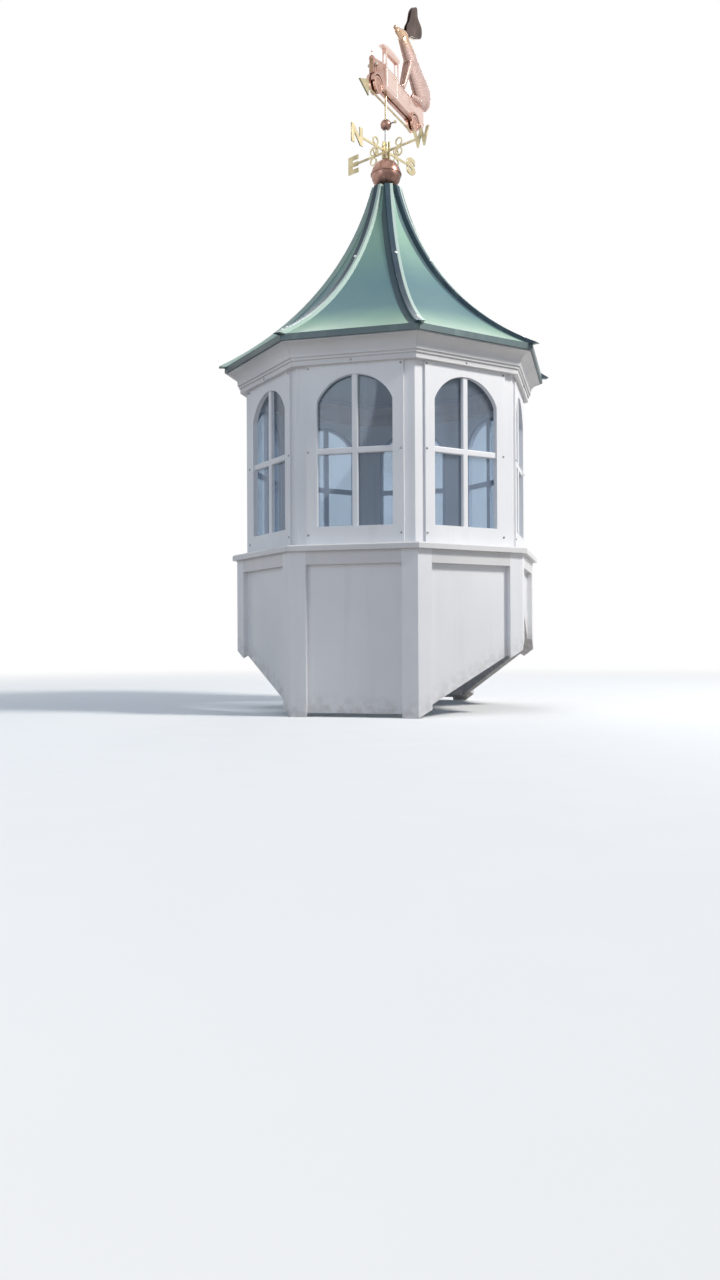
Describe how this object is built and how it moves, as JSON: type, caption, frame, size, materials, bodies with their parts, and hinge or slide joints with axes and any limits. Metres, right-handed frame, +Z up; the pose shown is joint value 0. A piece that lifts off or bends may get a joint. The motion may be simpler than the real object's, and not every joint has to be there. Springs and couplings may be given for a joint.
{
  "type": "octagonal garage cupola with weathervane",
  "caption": "Octagonal cupola on a saddle base, with arched windows, a concave bell roof and a turning copper weathervane of a dog in a pickup truck.",
  "frame": {"origin": "on the cupola's own upright axis, at the level of the lowest edges of the saddle base", "axes": "+Z up the mast, -Y out of the front window face, which looks down one roof slope, X along the ridge that the base sits over"},
  "size_m": [1.2552, 1.2552, 2.9857],
  "materials": {
    "white_trim": "white cellular vinyl board, painted smooth",
    "roof_metal": "glossy patina green sheet metal",
    "window_glass": "clear",
    "framing": "sawn softwood",
    "steel_rod": "bright drawn rod",
    "brass_trim": "weathered brass",
    "copper": "aged copper"
  },
  "bodies": {
    "cupola": {"base_corner_boards": "white_trim", "base_panel_back": "white_trim", "base_panel_back_left": "white_trim", "base_panel_back_right": "white_trim", "base_panel_front": "white_trim", "base_panel_front_left": "white_trim", "base_panel_front_right": "white_trim", "base_panel_left": "white_trim", "base_panel_right": "white_trim", "base_top_rails": "white_trim", "copper_ball": "copper", "crown_moulding": "white_trim", "direction_arms": "brass_trim", "direction_hub": "brass_trim", "eave_band": "roof_metal", "finial_block": "framing", "hip_caps": "roof_metal", "mast": "steel_rod", "roof_panel_back": "roof_metal", "roof_panel_back_left": "roof_metal", "roof_panel_back_right": "roof_metal", "roof_panel_front": "roof_metal", "roof_panel_front_left": "roof_metal", "roof_panel_front_right": "roof_metal", "roof_panel_left": "roof_metal", "roof_panel_right": "roof_metal", "sill": "white_trim", "spacer_ball": "copper", "top_plate": "framing", "window_bars": "white_trim", "window_panels": "white_trim", "window_panes": "window_glass", "window_posts": "white_trim"},
    "vane": {"arrow_head": "brass_trim", "arrow_rod": "brass_trim", "dog": "copper", "dog_ears": "copper", "truck_bed": "copper", "truck_bonnet": "copper", "truck_cab": "copper", "truck_cab_roof": "copper", "truck_fenders": "copper", "truck_frame": "copper", "truck_headlamps": "copper", "truck_radiator": "copper", "truck_wheels": "copper", "vane_tube": "brass_trim"}
  },
  "joints": [
    {"name": "vane_spin", "type": "hinge", "parent": "cupola", "child": "vane", "pos_m": [0, 0, 2.43], "axis": [0, 0, 1], "continuous": true}
  ]
}
